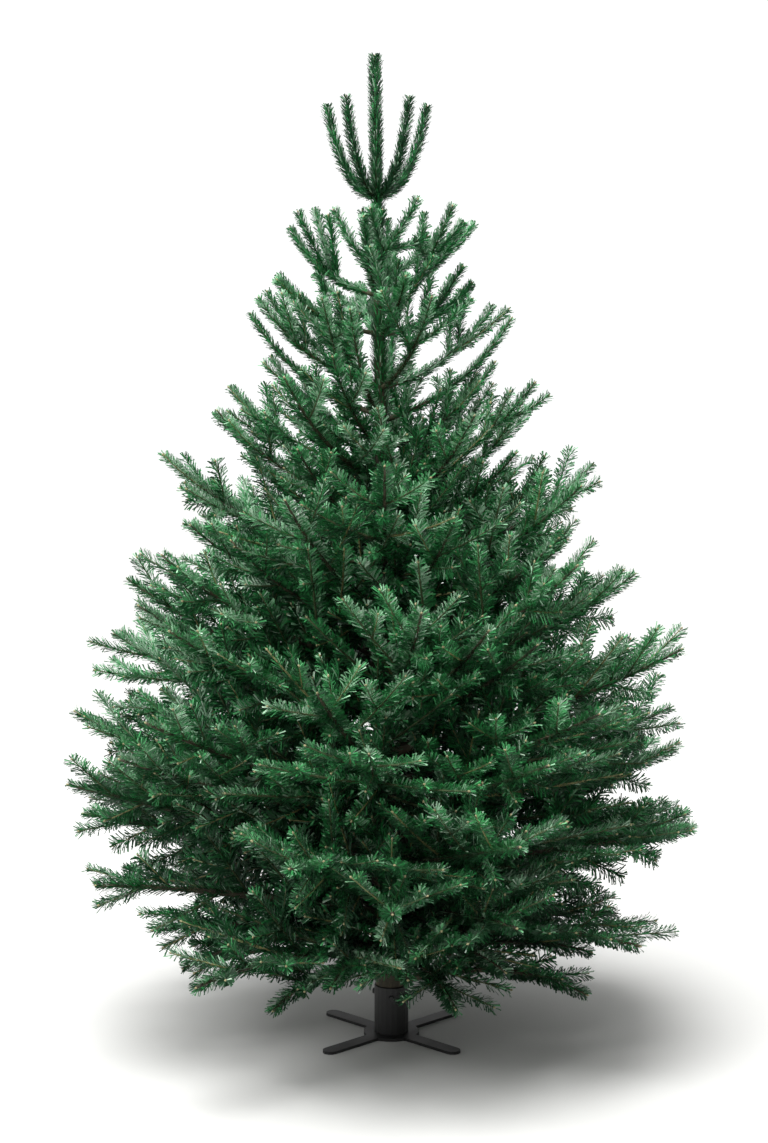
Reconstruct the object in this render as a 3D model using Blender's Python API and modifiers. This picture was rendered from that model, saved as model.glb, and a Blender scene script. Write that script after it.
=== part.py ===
"""A cut fir for Christmas, two metres tall, held upright by a plain steel cross stand.

Metres, +Z up. The origin is the middle of the stand's underside, on the floor.
The trunk carries nine whorls of boughs. In the four lowest whorls each bough is a bare limb that ends in
a mass of foliage. Higher up the needles reach the trunk, so a mass's own stem is its bough.
"""

import math

import bmesh
import bpy
from mathutils import Matrix, Vector
from mathutils.bvhtree import BVHTree

# The whole tree
TREE_HEIGHT = 2.0
LEAN = -0.034
GAP = 0.0003
UP = Vector((0, 0, 1))

# Trunk
TRUNK_FOOT_RADIUS = 0.0315
TRUNK_TOP_RADIUS = 0.0065
TRUNK_STATIONS = 8
LEADER_STEM = 0.03
LEVELLING = 0.001

# Whorls, counted from the top, and the lines that their boughs follow
WHORLS = 9
TOP_WHORL_HEIGHT = 1.714
LOW_WHORL_HEIGHT = 0.19
FIRST_AZIMUTH = math.radians(20)
SECOND_AZIMUTH = math.radians(-8)
WHORL_TURN = math.radians(34.4)
AZIMUTH_SPREAD = math.radians(5)
HEIGHT_SPREAD = 0.028
BOUGHS_IN_TOP_WHORL = 5
BOUGHS_IN_WHORL = 4
FIRST_BARE_WHORL = 5
FORK_REACH = 0.105
FORK_RISE = 0.185
TOP_REACH = 0.085
REACH_GAIN = 0.69
REACH_ROUNDING = 3.6
REACH_ROUND_FROM = 0.78
REACH_SPREAD = 0.03
REACH_BIAS = -0.018
TOP_RISE = 0.1
RISE_GAIN = 0.28
RISE_ROUNDING = 1.2
RISE_ROUND_FROM = 0.5
LOW_ARCH = 0.035
TOP_BEND = 0.8
LOW_BEND = 0.3
BOUGH_TOP_RADIUS = 0.0034
BOUGH_LOW_RADIUS = 0.0105
BOUGH_TIP_SHARE = 0.3
BOUGH_ROOT = 0.01
BOUGH_END = 0.34
BOUGH_TAPER_ROOM = 0.06
STEM_END = 0.8
FORK_STEM_END = 0.16
STEM_OVERLAP = 0.02
STEM_SHARE = 0.9
STEM_TIP_SHARE = 0.6
JOINT_LENGTH = 0.012
LEADER_JOIN = 1.875
SHOOT_OVERLAP = 0.01

# Foliage
BLADE_SHARE = 0.34
RIDGE_SHARE = 0.13
MAX_RIDGE = 0.004
ROOT_SHARE = 0.35
SPRAY_TIP_SHARE = 0.35
TOOTH_BASE = 1.1
TOOTH_TAPER = 0.85
TOOTH_SWEEP = 0.75
SHOOT_HALF_WIDTH = 0.017
BRANCHLET_WIDTH_SHARE = 0.23
SIDE_SHARE = 0.6
SIDE_LENGTH_POWER = 0.8
TOOTH_PITCH = 0.059
FORK_STAGGER = 0.04
FORK_ANGLE_INNER = math.radians(54)
FORK_ANGLE_OUTER = math.radians(40)
SIDE_TILT = math.radians(8)
SIDE_TILT_SPREAD = math.radians(32)
TOP_SPRAY_ANGLE = math.radians(46)
TOP_SPRAY_SHARE = 0.78
TOP_SPRAY_LEAN = 0.3
TOP_SPRAY_END = 0.65
UPLIFT = 0.45
UPLIFT_FADE = 2.0
YOUNG_VIGOUR = 0.8
VIGOUR_FADE = 3.0
YOUNG_WHORLS = 3
YOUNG_FORKS = (0.4, 0.72)
OLD_FORKS = (0.36, 0.8)
BARE_FORKS = (0.44, 0.8)
FORK_SHOOT_JOIN = 0.57
SPACE_MARGIN = 0.0012

# Stand
PLATE_THICKNESS = 0.006
LEG_REACH = 0.19
LEG_WIDTH = 0.032
HUB_RADIUS = 0.058
SOCKET_OUTER_RADIUS = 0.0352
SOCKET_WALL = 0.002
SOCKET_HEIGHT = 0.105
SCREW_COUNT = 3
SCREW_HEIGHT = 0.084
SCREW_RADIUS = 0.004
SCREW_HEAD_RADIUS = 0.0065
SCREW_HEAD_LENGTH = 0.007
SCREW_AZIMUTH = math.radians(30)

GOLDEN = 0.6180339887
PLASTIC = 0.7548776662


def vary(number, salt):
    """An even, repeatable spread of values from -1 to 1, in place of chance."""
    return 2 * ((number * GOLDEN + salt * PLASTIC) % 1) - 1


def clear_scene():
    for obj in list(bpy.data.objects):
        bpy.data.objects.remove(obj)


def new_collection(name, hidden=False):
    collection = bpy.data.collections.new(name)
    bpy.context.scene.collection.children.link(collection)
    collection.hide_render = hidden
    return collection


def new_material(name, colour, roughness, metallic=0.0):
    material = bpy.data.materials.new(name)
    material.use_nodes = True
    shader = material.node_tree.nodes["Principled BSDF"]
    shader.inputs["Base Color"].default_value = (*colour, 1)
    shader.inputs["Roughness"].default_value = roughness
    shader.inputs["Metallic"].default_value = metallic
    return material


def add_mesh_object(name, mesh, collection, material):
    obj = bpy.data.objects.new(name, mesh)
    collection.objects.link(obj)
    mesh.materials.clear()
    mesh.materials.append(material)
    return obj


def mesh_of(bm, name):
    mesh = bpy.data.meshes.new(name)
    bm.to_mesh(mesh)
    bm.free()
    return mesh


def limb_mesh(name, points, radii, rings):
    """A round tapering limb through the points, with flat ends: 4 + 2 x rings sides."""
    curve = bpy.data.curves.new(name, "CURVE")
    curve.dimensions = "3D"
    curve.bevel_depth = 1
    curve.bevel_resolution = rings
    curve.use_fill_caps = True
    spline = curve.splines.new("POLY")
    spline.points.add(len(points) - 1)
    for place, point, radius in zip(spline.points, points, radii):
        place.co = (*point, 1)
        place.radius = radius
    return mesh_of_curve(curve, name)


def mesh_of_curve(curve, name):
    guide = bpy.data.objects.new(name, curve)
    bpy.context.scene.collection.objects.link(guide)
    graph = bpy.context.evaluated_depsgraph_get()
    mesh = bpy.data.meshes.new_from_object(guide.evaluated_get(graph))
    bpy.data.objects.remove(guide)
    bm = bmesh.new()
    bm.from_mesh(mesh)
    bmesh.ops.remove_doubles(bm, verts=bm.verts, dist=1e-6)
    bmesh.ops.recalc_face_normals(bm, faces=bm.faces)
    bm.to_mesh(mesh)
    bm.free()
    return mesh


def shade(obj):
    obj.data.shade_smooth()
    obj.data.set_sharp_from_angle(angle=math.radians(40))


def apply_boolean(obj, operation, other, solver="EXACT"):
    """Joins obj with, or cuts it by, an object or a whole collection, and makes the result its mesh."""
    modifier = obj.modifiers.new(operation.title(), "BOOLEAN")
    modifier.operation = operation
    modifier.solver = solver
    if isinstance(other, bpy.types.Collection):
        modifier.operand_type = "COLLECTION"
        modifier.collection = other
    else:
        modifier.object = other
    graph = bpy.context.evaluated_depsgraph_get()
    mesh = bpy.data.meshes.new_from_object(obj.evaluated_get(graph))
    obj.modifiers.clear()
    obj.data = mesh


def stations(first, last, steps):
    return [first + (last - first) * i / steps for i in range(steps + 1)]


def trunk_axis(height):
    return Vector((LEAN * height / TREE_HEIGHT, 0, height))


def trunk_radius(height):
    return TRUNK_FOOT_RADIUS + (TRUNK_TOP_RADIUS - TRUNK_FOOT_RADIUS) * height / TOP_WHORL_HEIGHT


def trunk_mesh(name, extra_radius=0.0, extra_length=0.0):
    low = PLATE_THICKNESS + GAP - extra_length
    high = TOP_WHORL_HEIGHT + 3 * BOUGH_TOP_RADIUS + extra_length
    heights = stations(low, high, TRUNK_STATIONS - 1)
    radii = [trunk_radius(max(height, 0)) + extra_radius for height in heights]
    mesh = limb_mesh(name, [trunk_axis(height) for height in heights], radii, 4)
    level_ends(mesh, low, high)
    return mesh


def level_ends(mesh, low, high):
    """Turns a leaning limb's end faces level, as the saw leaves the foot."""
    for vert in mesh.vertices:
        for height in (low, high):
            if abs(vert.co.z - height) < LEVELLING:
                vert.co.z = height


class Course:
    """The line of one bough, from the trunk's axis at 0 to the bough's tip at 1."""

    def __init__(self, whorl, number):
        depth = whorl / (WHORLS - 1)
        salt = whorl + 1
        if whorl:
            turn = SECOND_AZIMUTH + WHORL_TURN * (whorl - 1) + math.tau * number / BOUGHS_IN_WHORL
            azimuth = turn + AZIMUTH_SPREAD * vary(number, salt)
        else:
            azimuth = FIRST_AZIMUTH + math.tau * number / BOUGHS_IN_TOP_WHORL
        height = TOP_WHORL_HEIGHT + (LOW_WHORL_HEIGHT - TOP_WHORL_HEIGHT) * depth
        rounding = REACH_ROUNDING * max(0, depth - REACH_ROUND_FROM) ** 2
        drooping = RISE_ROUNDING * max(0, depth - RISE_ROUND_FROM) ** 2
        share = 1 + REACH_SPREAD * vary(number, salt + 0.25) + REACH_BIAS * math.cos(azimuth)
        self.whorl = whorl
        self.start = trunk_axis(height + HEIGHT_SPREAD * vary(number, salt + 0.5) * depth)
        self.outward = Vector((math.cos(azimuth), math.sin(azimuth), 0))
        self.side = self.outward.cross(UP)
        self.reach = share * (TOP_REACH + REACH_GAIN * depth - rounding if whorl else FORK_REACH)
        self.rise = TOP_RISE + RISE_GAIN * depth - drooping if whorl else FORK_RISE
        self.arch = LOW_ARCH * depth**6
        self.bend = LOW_BEND + (TOP_BEND - LOW_BEND) * (1 - depth) ** 2
        self.radius = BOUGH_TOP_RADIUS + (BOUGH_LOW_RADIUS - BOUGH_TOP_RADIUS) * depth
        self.uplift = UPLIFT * max(1 - UPLIFT_FADE * depth, 0)
        self.vigour = 1 + YOUNG_VIGOUR * max(1 - VIGOUR_FADE * depth, 0)
        self.length = math.hypot(self.reach, self.rise)

    def point(self, s):
        bulge = s * (1 - s)
        out = self.reach * (s + self.bend * bulge / 2)
        climb = self.rise * (s - self.bend * bulge) + self.arch * 4 * bulge
        return self.start + self.outward * out + UP * climb

    def heading(self, s):
        turn = 1 - 2 * s
        out = self.reach * (1 + self.bend * turn / 2)
        climb = self.rise * (1 - self.bend * turn) + self.arch * 4 * turn
        return (self.outward * out + UP * climb).normalized()

    def limb_radius(self, s):
        return self.radius * (1 - (1 - BOUGH_TIP_SHARE) * s)


def bough_mesh(name, course):
    """The bare inner limb, from inside the trunk to the flat end where its foliage takes over."""
    places = stations(BOUGH_ROOT, BOUGH_END - BOUGH_TAPER_ROOM, 2)
    end = course.point(BOUGH_END)
    points = [course.point(s) for s in places]
    points += [end - course.heading(BOUGH_END) * JOINT_LENGTH, end]
    radii = [course.limb_radius(s) for s in places] + [course.limb_radius(BOUGH_END)] * 2
    return limb_mesh(name, points, radii, 1)


def stem_mesh(name, course, first):
    """The stem that a mass's twigs branch from. Where it goes on from a bough, it starts a gap beyond it."""
    last = (STEM_END if course.whorl else FORK_STEM_END) + STEM_OVERLAP
    places = stations(first, last, 3 if course.whorl else 1)
    points = [course.point(s) for s in places]
    radii = [course.limb_radius(s) * STEM_SHARE for s in places[:-1]]
    radii.append(course.limb_radius(last) * STEM_TIP_SHARE)
    if first:
        heading = course.heading(first)
        points[0] = course.point(first) + heading * GAP
        points.insert(1, course.point(first) + heading * JOINT_LENGTH)
        radii.insert(1, radii[0])
    return limb_mesh(name, points, radii, 0)


def leader_mesh(name):
    """The stem of the leading shoot, which stands on the trunk's flat top."""
    foot = TOP_WHORL_HEIGHT + 3 * BOUGH_TOP_RADIUS + GAP
    radii = (TRUNK_TOP_RADIUS * 0.85, TRUNK_TOP_RADIUS * 0.3)
    return limb_mesh(name, [trunk_axis(foot), trunk_axis(foot + LEADER_STEM)], radii, 0)


def spray_bmesh(length, half_width, wings, teeth, extra=0.0):
    """A spray of needles along +Z: a slim core, and on it thin wings cut into teeth that point forward.

    Round the core, from +Y, a corner on a wing and a corner in a valley take turns. Both start slim, so
    the root sinks into a stem, and end in one point.
    """
    bm = bmesh.new()
    blade = half_width * BLADE_SHARE + extra
    ridge = min(half_width * RIDGE_SHARE, MAX_RIDGE) + extra
    bmesh.ops.create_cone(
        bm,
        cap_ends=True,
        segments=2 * wings,
        radius1=blade,
        radius2=blade * SPRAY_TIP_SHARE,
        depth=length,
        matrix=Matrix.Translation((0, 0, length / 2)),
    )
    lengthwise = [edge for edge in bm.edges if abs(edge.verts[0].co.z - edge.verts[1].co.z) > length / 2]
    bmesh.ops.subdivide_edges(bm, edges=lengthwise, cuts=teeth - 1, use_grid_fill=True)
    tip = [vert for vert in bm.verts if vert.co.z > length * 0.999]
    bmesh.ops.pointmerge(bm, verts=tip, merge_co=(0, 0, length + extra))
    root = [vert for vert in bm.verts if vert.co.z < length * 0.001]
    slim = [vert for vert in bm.verts if round(math.atan2(vert.co.x, vert.co.y) * wings / math.pi) % 2]
    valleys = set(slim)
    wing_edges = [
        edge
        for edge in bm.edges
        if not valleys.intersection(edge.verts) and edge.verts[0].co.z != edge.verts[1].co.z
    ]
    for vert in slim:
        vert.co.xy *= ridge / blade
    for vert in root:
        vert.co.xy = vert.co.xy.normalized() * (ridge * ROOT_SHARE)
    for edge in wing_edges:
        _, tooth = bmesh.utils.edge_split(edge, edge.verts[0], 0.5)
        for valley in [vert for face in tooth.link_faces for vert in face.verts if vert in valleys]:
            bmesh.ops.connect_verts(bm, verts=[tooth, valley])
        along = tooth.co.z / length
        width = half_width * (TOOTH_BASE - TOOTH_TAPER * along) + extra
        tooth.co.xy = tooth.co.xy.normalized() * width
        tooth.co.z = min(tooth.co.z + width * TOOTH_SWEEP, length) + extra
    bmesh.ops.triangulate(bm, faces=bm.faces)
    return bm


def placed(point, direction, normal):
    """A matrix that takes a spray's +Z to direction and its flat side, +X, towards normal."""
    along = direction.normalized()
    across = along.cross(normal).normalized()
    flat = across.cross(along)
    return Matrix.Translation(point) @ Matrix((flat, across, along)).transposed().to_4x4()


class Spray:
    """One spray of a mass: where it springs from, where it points and its size."""

    def __init__(self, point, direction, normal, length, half_width, wings=2, teeth=3):
        self.matrix = placed(point, direction, normal)
        self.shape = (length, half_width, wings, teeth)

    def bmesh(self, extra=0.0):
        bm = spray_bmesh(*self.shape, extra=extra)
        bm.transform(self.matrix)
        return bm


def shoot_between(start, end, wings, teeth):
    """A needle-clad stretch of stem."""
    along = end - start
    return Spray(start, along, along.cross(UP).cross(along), along.length, SHOOT_HALF_WIDTH, wings, teeth)


def teeth_on(length):
    return max(2, min(round(length / TOOTH_PITCH), 4))


def side_sprays(course, s, fork):
    """The two branchlets at one fork, left and right, and the shorter one that rises before them."""
    heading = course.heading(s)
    side = course.side
    normal = side.cross(heading)
    salt = course.whorl + 20 * fork
    angle = FORK_ANGLE_INNER + (FORK_ANGLE_OUTER - FORK_ANGLE_INNER) * s
    length = course.length * course.vigour * SIDE_SHARE * (1.08 - s) ** SIDE_LENGTH_POWER
    width = max(length * BRANCHLET_WIDTH_SHARE, SHOOT_HALF_WIDTH)
    made = []
    for hand in (1, -1):
        tilt = SIDE_TILT + SIDE_TILT_SPREAD * vary(hand, salt)
        outward = side * hand * math.cos(tilt) + normal * math.sin(tilt)
        direction = heading * math.cos(angle) + outward * math.sin(angle) + UP * course.uplift
        flat = normal - side * hand * math.tan(tilt)
        point = course.point(s - hand * FORK_STAGGER / 2)
        made.append(Spray(point, direction, flat, length, width, 2, teeth_on(length)))
    if s < TOP_SPRAY_END:
        lean = TOP_SPRAY_LEAN * vary(fork, salt + 0.3)
        rising = heading * math.cos(TOP_SPRAY_ANGLE) + normal * math.sin(TOP_SPRAY_ANGLE)
        direction = rising + side * lean + UP * course.uplift
        point = course.point(s - 2 * FORK_STAGGER)
        short = length * TOP_SPRAY_SHARE
        width = max(short * BRANCHLET_WIDTH_SHARE, SHOOT_HALF_WIDTH)
        made.append(Spray(point, direction, side, short, width, 2, teeth_on(short)))
    return made


def fork_stations(whorl):
    """Where along its course a bough of this whorl forks into branchlets."""
    if whorl == 0:
        return []
    if whorl < YOUNG_WHORLS:
        return list(YOUNG_FORKS)
    return stations(*(BARE_FORKS if whorl >= FIRST_BARE_WHORL else OLD_FORKS), 2)


def sprays_of(course):
    """Every spray of one bough's mass, the needle-clad tip first."""
    join = FORK_SHOOT_JOIN
    two_shoots = ((FORK_STEM_END, join + SHOOT_OVERLAP), (join - SHOOT_OVERLAP, 1.0))
    ends = ((STEM_END, 1.0),) if course.whorl else two_shoots
    wings = 2 if course.whorl >= YOUNG_WHORLS else 3
    made = [shoot_between(course.point(a), course.point(b), wings, 3 if course.whorl else 2) for a, b in ends]
    for fork, s in enumerate(fork_stations(course.whorl)):
        made += side_sprays(course, s, fork)
    return made


class Mass:
    """A mass of foliage: a stem, and the sprays that have room in its own space."""

    def __init__(self, name, stem, sprays):
        self.name = name
        self.stem = stem
        self.sprays = sprays


def bvh_of_mesh(mesh):
    bm = bmesh.new()
    bm.from_mesh(mesh)
    tree = BVHTree.FromBMesh(bm)
    bm.free()
    return tree


def has_room(spray, others):
    bm = spray.bmesh(extra=SPACE_MARGIN)
    tree = BVHTree.FromBMesh(bm)
    bm.free()
    return not any(tree.overlap(other) for other in others)


def keep_main_piece(mesh):
    """Drops loose scraps, and fills sealed hollows by dropping their walls."""
    bm = bmesh.new()
    bm.from_mesh(mesh)
    left = set(bm.faces)
    pieces = []
    for face in bm.faces:
        if face not in left:
            continue
        left.discard(face)
        piece = [face]
        for member in piece:
            for near in {other for edge in member.edges for other in edge.link_faces} & left:
                left.discard(near)
                piece.append(near)
        pieces.append(piece)
    pieces.sort(key=lambda piece: sum(face.calc_area() for face in piece))
    spare = [face for piece in pieces[:-1] for face in piece]
    bmesh.ops.delete(bm, geom=spare, context="FACES")
    bm.to_mesh(mesh)
    bm.free()


def build_mass(mass, taken, own, collection, material, cutter):
    """Joins a mass's stem and the sprays that have room, and returns the trees of what it now fills."""
    others = [tree for name, tree in taken if name != own]
    joined = new_collection("sprays to join", hidden=True)
    filled = []
    for spray in mass.sprays:
        if not has_room(spray, others):
            continue
        bm = spray.bmesh()
        filled.append((own, BVHTree.FromBMesh(bm)))
        add_mesh_object("spray", mesh_of(bm, "spray"), joined, material)
    obj = add_mesh_object(mass.name, mass.stem, collection, material)
    apply_boolean(obj, "UNION", joined, "MANIFOLD")
    if cutter:
        apply_boolean(obj, "DIFFERENCE", cutter, "MANIFOLD")
    keep_main_piece(obj.data)
    for spare in list(joined.objects):
        bpy.data.objects.remove(spare)
    bpy.data.collections.remove(joined)
    return filled


def build_crown(collection, cutters, bark, needles):
    """The trunk, the main boughs and every mass of foliage, each in space of its own."""
    trunk = add_mesh_object("trunk", trunk_mesh("trunk"), collection, bark)
    shade(trunk)
    cutter = add_mesh_object("trunk_cutter", trunk_mesh("trunk_cutter", GAP, 0.02), cutters, bark)
    cutter.hide_render = True
    cutter.display_type = "WIRE"
    taken = [("trunk", bvh_of_mesh(trunk.data))]
    masses = []
    leader_sprays = [
        shoot_between(trunk_axis(low), trunk_axis(high), 3, 4)
        for low, high in (
            (TOP_WHORL_HEIGHT + LEADER_STEM, LEADER_JOIN + SHOOT_OVERLAP / 2),
            (LEADER_JOIN - SHOOT_OVERLAP / 2, TREE_HEIGHT),
        )
    ]
    masses.append((Mass("leading_shoot", leader_mesh("leading_shoot"), leader_sprays), None))
    for whorl in reversed(range(WHORLS)):
        for number in range(BOUGHS_IN_WHORL if whorl else BOUGHS_IN_TOP_WHORL):
            course = Course(whorl, number)
            label = f"{whorl + 1}_{number + 1}"
            from_trunk = whorl < FIRST_BARE_WHORL
            if not from_trunk:
                bough = add_mesh_object(f"bough_{label}", bough_mesh("bough", course), collection, bark)
                apply_boolean(bough, "DIFFERENCE", cutter, "MANIFOLD")
                shade(bough)
                taken.append((bough.name, bvh_of_mesh(bough.data)))
            stem = stem_mesh("stem", course, 0.0 if from_trunk else BOUGH_END)
            mass = Mass(f"foliage_{label}", stem, sprays_of(course))
            masses.append((mass, cutter if from_trunk else None))
    taken += [(mass.name, bvh_of_mesh(mass.stem)) for mass, _ in masses]
    for mass, cut in masses:
        taken += build_mass(mass, taken, mass.name, collection, needles, cut)


def rod_between(name, start, end, radius, collection, material, segments=8):
    bm = bmesh.new()
    direction = end - start
    turn = direction.to_track_quat("Z", "Y").to_matrix().to_4x4()
    matrix = Matrix.Translation((start + end) / 2) @ turn
    bmesh.ops.create_cone(
        bm, cap_ends=True, segments=segments, radius1=radius, radius2=radius, depth=direction.length, matrix=matrix
    )
    return add_mesh_object(name, mesh_of(bm, name), collection, material)


def build_plate(collection, steel):
    """A flat steel cross on the floor: four legs with round ends that meet in a wider hub."""
    outline = []
    half_leg = LEG_WIDTH / 2
    for leg in range(4):
        azimuth = math.tau * (leg + 0.5) / 4
        outward = Vector((math.cos(azimuth), math.sin(azimuth), 0))
        across = Vector((-outward.y, outward.x, 0))
        end = outward * (LEG_REACH - half_leg)
        for turn in stations(-math.pi / 2, math.pi / 2, 6):
            outline.append(end + (outward * math.cos(turn) + across * math.sin(turn)) * half_leg)
        start = math.asin(half_leg / HUB_RADIUS)
        for turn in stations(start, math.pi / 2 - start, 3):
            outline.append((outward * math.cos(turn) + across * math.sin(turn)) * HUB_RADIUS)
    curve = bpy.data.curves.new("stand_plate", "CURVE")
    curve.dimensions = "2D"
    curve.fill_mode = "BOTH"
    curve.extrude = PLATE_THICKNESS / 2
    spline = curve.splines.new("POLY")
    spline.points.add(len(outline) - 1)
    for place, point in zip(spline.points, outline):
        place.co = (*point, 1)
    spline.use_cyclic_u = True
    mesh = mesh_of_curve(curve, "stand_plate")
    mesh.transform(Matrix.Translation((0, 0, PLATE_THICKNESS / 2)))
    add_mesh_object("stand_plate", mesh, collection, steel)


def build_socket(collection, cutters, steel):
    """The tube that holds the trunk's foot, and the screws through its wall that grip the trunk."""
    inner = SOCKET_OUTER_RADIUS - SOCKET_WALL
    low = PLATE_THICKNESS + GAP
    lip = SOCKET_WALL / 2
    profile = (
        (SOCKET_OUTER_RADIUS - lip, SOCKET_HEIGHT),
        (SOCKET_OUTER_RADIUS, SOCKET_HEIGHT - lip),
        (SOCKET_OUTER_RADIUS, low),
        (inner, low),
        (inner, SOCKET_HEIGHT),
        (SOCKET_OUTER_RADIUS - lip, SOCKET_HEIGHT),
    )
    bm = bmesh.new()
    corners = [bm.verts.new((radius, 0, height)) for radius, height in profile[:-1]]
    for i, corner in enumerate(corners):
        bm.edges.new((corner, corners[(i + 1) % len(corners)]))
    socket = add_mesh_object("stand_socket", mesh_of(bm, "stand_socket"), collection, steel)
    screw = socket.modifiers.new("Turned tube", "SCREW")
    screw.steps = screw.render_steps = 20
    screw.use_merge_vertices = True
    screw.merge_threshold = 1e-5
    screw.use_normal_calculate = True
    graph = bpy.context.evaluated_depsgraph_get()
    mesh = bpy.data.meshes.new_from_object(socket.evaluated_get(graph))
    socket.modifiers.clear()
    socket.data = mesh
    for number in range(SCREW_COUNT):
        azimuth = SCREW_AZIMUTH + math.tau * number / SCREW_COUNT
        outward = Vector((math.cos(azimuth), math.sin(azimuth), 0))
        centre = Vector((0, 0, SCREW_HEIGHT))
        bark_reach = trunk_radius(SCREW_HEIGHT) + outward.dot(trunk_axis(SCREW_HEIGHT))
        tip = centre + outward * (bark_reach + GAP)
        head = centre + outward * (SOCKET_OUTER_RADIUS + GAP)
        end = head + outward * SCREW_HEAD_LENGTH
        hole = rod_between("hole", centre, end, SCREW_RADIUS + GAP, cutters, steel)
        hole.hide_render = True
        hole.display_type = "WIRE"
        apply_boolean(socket, "DIFFERENCE", hole, "MANIFOLD")
        shank = rod_between(f"stand_screw_{number + 1}", tip, end, SCREW_RADIUS, collection, steel)
        knob = rod_between("screw_head", head, end, SCREW_HEAD_RADIUS, cutters, steel, 6)
        apply_boolean(shank, "UNION", knob)
        bpy.data.objects.remove(knob)
        shade(shank)
    shade(socket)


def stand_upright(collection):
    """Hangs every piece on one empty at the origin, so that the whole tree is moved by that alone."""
    carrier = bpy.data.objects.new("cut_fir_tree", None)
    collection.objects.link(carrier)
    for obj in collection.objects:
        if obj is not carrier:
            obj.parent = carrier


def main():
    clear_scene()
    tree = new_collection("Christmas tree")
    cutters = new_collection("cutters", hidden=True)
    bark = new_material("fir bark", (0.16, 0.12, 0.09), 0.9)
    needles = new_material("fir needles", (0.03, 0.13, 0.06), 0.55)
    steel = new_material("black powder-coated steel", (0.012, 0.012, 0.013), 0.45)
    build_crown(tree, cutters, bark, needles)
    build_plate(tree, steel)
    build_socket(tree, cutters, steel)
    stand_upright(tree)


main()
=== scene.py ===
"""A cut fir for Christmas in a plain steel cross stand: bark, twigs, buds and needles on the fixed frame.

Laid out as an add-on and run as a script. Metres, +Z up, the origin under the middle of the stand.
The crown is grown here once more by the rule that its solids follow, and carried on to finer twigs.
"""

import math
from collections import namedtuple

import bmesh
import bpy
import numpy as np
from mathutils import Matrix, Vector, noise


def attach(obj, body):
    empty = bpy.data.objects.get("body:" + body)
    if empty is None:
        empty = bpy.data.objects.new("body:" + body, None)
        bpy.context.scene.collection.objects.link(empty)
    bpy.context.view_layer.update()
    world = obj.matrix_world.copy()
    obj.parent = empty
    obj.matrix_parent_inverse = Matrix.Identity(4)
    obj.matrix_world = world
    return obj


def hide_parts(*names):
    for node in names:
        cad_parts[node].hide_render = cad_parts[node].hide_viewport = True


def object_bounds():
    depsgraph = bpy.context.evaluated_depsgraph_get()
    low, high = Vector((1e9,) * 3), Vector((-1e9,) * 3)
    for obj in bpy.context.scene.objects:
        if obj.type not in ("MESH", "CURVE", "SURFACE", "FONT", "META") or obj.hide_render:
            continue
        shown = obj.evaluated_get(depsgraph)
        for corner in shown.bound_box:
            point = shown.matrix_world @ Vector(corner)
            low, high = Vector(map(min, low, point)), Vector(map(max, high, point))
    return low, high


bl_info = {
    "name": "Cut fir tree",
    "version": (1, 0, 0),
    "blender": (4, 5, 0),
    "location": "3D View > Sidebar > Fir Tree",
    "description": "Grows a two metre cut fir round its frame, with bark, buds and needles",
    "category": "Add Mesh",
}

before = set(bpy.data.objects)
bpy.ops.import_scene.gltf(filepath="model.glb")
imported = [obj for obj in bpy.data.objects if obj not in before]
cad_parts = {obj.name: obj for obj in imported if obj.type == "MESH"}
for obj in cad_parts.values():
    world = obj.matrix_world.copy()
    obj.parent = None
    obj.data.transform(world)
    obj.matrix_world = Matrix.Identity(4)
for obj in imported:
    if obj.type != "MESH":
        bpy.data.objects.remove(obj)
CAD_LOW, CAD_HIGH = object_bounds()

UP = Vector((0, 0, 1))
FRONT = Vector((0, -1, 0))
GOLDEN = 0.6180339887
PLASTIC = 0.7548776662
SEED = 2451

# The source's rule: trunk
TREE_HEIGHT = 2.0
LEAN = -0.034
GAP = 0.0003
TRUNK_FOOT_RADIUS = 0.0315
TRUNK_TOP_RADIUS = 0.0065
PLATE_THICKNESS = 0.006

# The source's rule: whorls, counted from the top, and the lines that their boughs follow
WHORLS = 9
TOP_WHORL_HEIGHT = 1.714
LOW_WHORL_HEIGHT = 0.19
FIRST_AZIMUTH = math.radians(20)
SECOND_AZIMUTH = math.radians(-8)
WHORL_TURN = math.radians(34.4)
AZIMUTH_SPREAD = math.radians(5)
HEIGHT_SPREAD = 0.028
BOUGHS_IN_TOP_WHORL = 5
BOUGHS_IN_WHORL = 4
FORK_REACH = 0.105
FORK_RISE = 0.185
TOP_REACH = 0.085
REACH_GAIN = 0.69
REACH_ROUNDING = 3.6
REACH_ROUND_FROM = 0.78
REACH_SPREAD = 0.03
REACH_BIAS = -0.018
TOP_RISE = 0.1
RISE_GAIN = 0.28
RISE_ROUNDING = 1.2
RISE_ROUND_FROM = 0.5
LOW_ARCH = 0.035
TOP_BEND = 0.8
LOW_BEND = 0.3
BOUGH_TOP_RADIUS = 0.0034
BOUGH_LOW_RADIUS = 0.0105
BOUGH_TIP_SHARE = 0.3
TRUNK_TOP = TOP_WHORL_HEIGHT + 3 * BOUGH_TOP_RADIUS

# The source's rule: how a limb forks
SIDE_SHARE = 0.6
SIDE_LENGTH_FROM = 1.08
SIDE_LENGTH_POWER = 0.8
FORK_STAGGER = 0.04
FORK_ANGLE_INNER = math.radians(54)
FORK_ANGLE_OUTER = math.radians(40)
SIDE_TILT = math.radians(8)
SIDE_TILT_SPREAD = math.radians(32)
TOP_SPRAY_ANGLE = math.radians(46)
TOP_SPRAY_SHARE = 0.78
TOP_SPRAY_LEAN = 0.3
TOP_SPRAY_END = 0.65
UPLIFT = 0.45
UPLIFT_FADE = 2.0
YOUNG_VIGOUR = 0.8
VIGOUR_FADE = 3.0

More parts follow.
